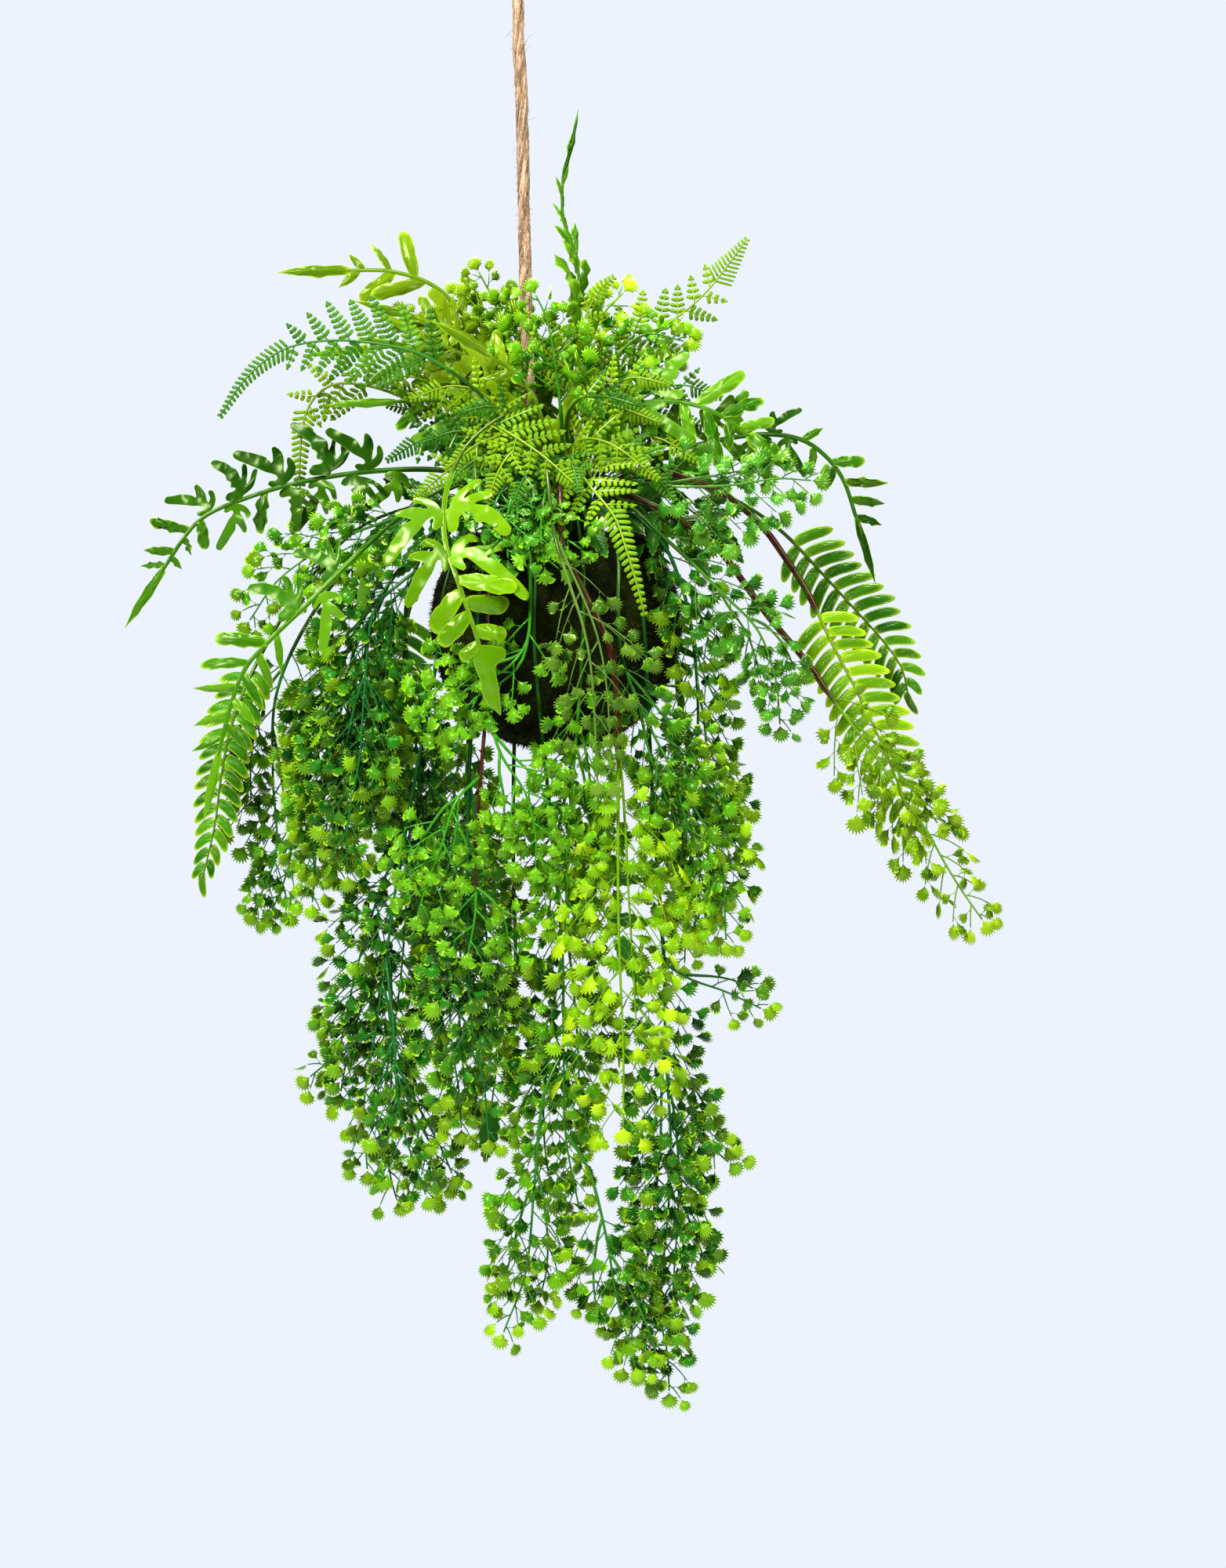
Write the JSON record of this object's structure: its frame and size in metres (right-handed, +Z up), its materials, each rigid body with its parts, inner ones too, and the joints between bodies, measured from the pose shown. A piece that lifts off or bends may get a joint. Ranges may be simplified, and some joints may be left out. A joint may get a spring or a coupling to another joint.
{
  "type": "kokedama moss ball plant",
  "caption": "Hanging ball of soil in a skin of moss on a jute rope, with mixed fern sprays that arch from its top and trail far below it.",
  "frame": {"origin": "the point inside the top of the hanging loop where a hook bears", "axes": "+Z up along the pull of the hook, -Y towards the viewer, +X to the viewer's right"},
  "size_m": [0.5299, 0.2469, 0.9148],
  "materials": {
    "soil": "packed dark soil",
    "moss": "dense dark moss",
    "jute": "loosely twisted natural fibre",
    "leaf_lime": "satin lime leaf",
    "leaf_mid": "satin mid green leaf",
    "leaf_deep": "satin deep green leaf",
    "leaf_grey": "dull grey-green leaf"
  },
  "bodies": {
    "root": {"root_ball": "soil", "moss_skin": "moss", "jute_cord": "jute", "rope_knot": "jute", "hanging_loop": "jute", "lobed_front": "leaf_lime", "lace_front": "leaf_lime", "maidenhair_front_lime": "leaf_lime", "maidenhair_grey": "leaf_grey", "maidenhair_right_front": "leaf_mid", "maidenhair_lowest": "leaf_deep", "maidenhair_bottom_mid": "leaf_mid", "maidenhair_centre_left": "leaf_deep", "maidenhair_left_main": "leaf_mid", "maidenhair_left_second": "leaf_deep", "maidenhair_left_long": "leaf_deep", "maidenhair_left_inner": "leaf_deep", "maidenhair_mid_front": "leaf_mid", "maidenhair_left_outer": "leaf_mid", "maidenhair_left_arch": "leaf_mid", "maidenhair_right_long": "leaf_lime", "maidenhair_right_upper": "leaf_mid", "maidenhair_right_cluster": "leaf_mid", "maidenhair_right_second": "leaf_deep", "sword_right_pale": "leaf_lime", "sword_right_dark": "leaf_deep", "sword_left": "leaf_deep", "lobed_left_low": "leaf_mid", "lobed_left_long": "leaf_deep", "lobed_top_left": "leaf_lime", "lobed_top_tall": "leaf_mid", "lobed_right_upper": "leaf_mid", "lobed_right_long": "leaf_deep", "lobed_upper_left_back": "leaf_mid", "lace_left_top": "leaf_lime", "lace_left_droop": "leaf_mid", "lace_right_top": "leaf_lime", "lace_right_mid": "leaf_deep", "lace_left_mid": "leaf_mid", "maidenhair_top_left": "leaf_deep", "maidenhair_top_mid": "leaf_mid", "maidenhair_top_right": "leaf_lime", "maidenhair_top_dark": "leaf_deep", "rue_front": "leaf_mid", "rue_over_ball": "leaf_mid", "rue_small": "leaf_deep", "holly_centre": "leaf_deep", "holly_low": "leaf_deep", "lobed_back": "leaf_mid", "lace_back": "leaf_lime", "sword_back": "leaf_deep", "maidenhair_back_right": "leaf_mid", "maidenhair_back_left": "leaf_mid"}
  },
  "joints": []
}
